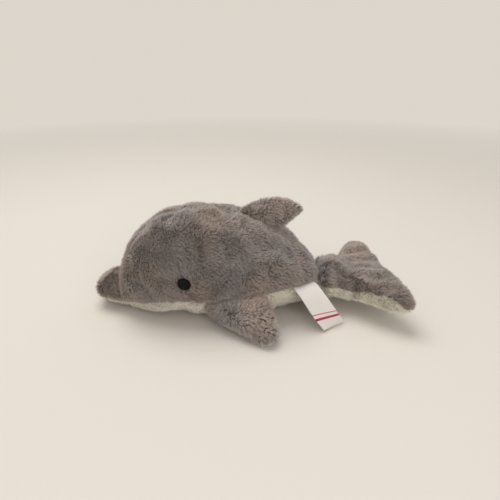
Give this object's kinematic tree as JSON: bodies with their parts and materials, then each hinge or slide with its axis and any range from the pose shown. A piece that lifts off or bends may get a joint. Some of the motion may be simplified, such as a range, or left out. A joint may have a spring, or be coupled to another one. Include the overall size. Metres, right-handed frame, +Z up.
{
  "type": "plush dolphin",
  "caption": "Soft stuffed dolphin lying on its belly, grey above and white below, with stitched eyes, two flippers, a back fin and flat tail flukes.",
  "frame": {"origin": "on the surface that the toy lies on, below the middle of the whole object", "axes": "+X from the nose to the tail, +Y to the dolphin's right side, +Z up"},
  "size_m": [0.2554, 0.1382, 0.0938],
  "materials": {
    "grey_plush": "short dense plush, warm grey",
    "white_plush": "short dense plush, warm white",
    "black_thread": "embroidery thread, black",
    "white_ribbon": "woven satin ribbon, white",
    "polyester_fibre": "loose fibre filling, white"
  },
  "bodies": {
    "root": {"side_panel_left": "grey_plush", "side_panel_right": "grey_plush", "belly_panel": "white_plush", "tail_upper_panel": "grey_plush", "tail_lower_panel": "white_plush", "dorsal_fin_left_panel": "grey_plush", "dorsal_fin_right_panel": "grey_plush", "flipper_left_upper_panel": "grey_plush", "flipper_left_lower_panel": "white_plush", "flipper_right_upper_panel": "grey_plush", "flipper_right_lower_panel": "white_plush", "eye_left": "black_thread", "eye_right": "black_thread", "label": "white_ribbon", "body_stuffing": "polyester_fibre", "tail_stuffing": "polyester_fibre", "dorsal_fin_stuffing": "polyester_fibre", "flipper_left_stuffing": "polyester_fibre", "flipper_right_stuffing": "polyester_fibre"}
  },
  "joints": []
}
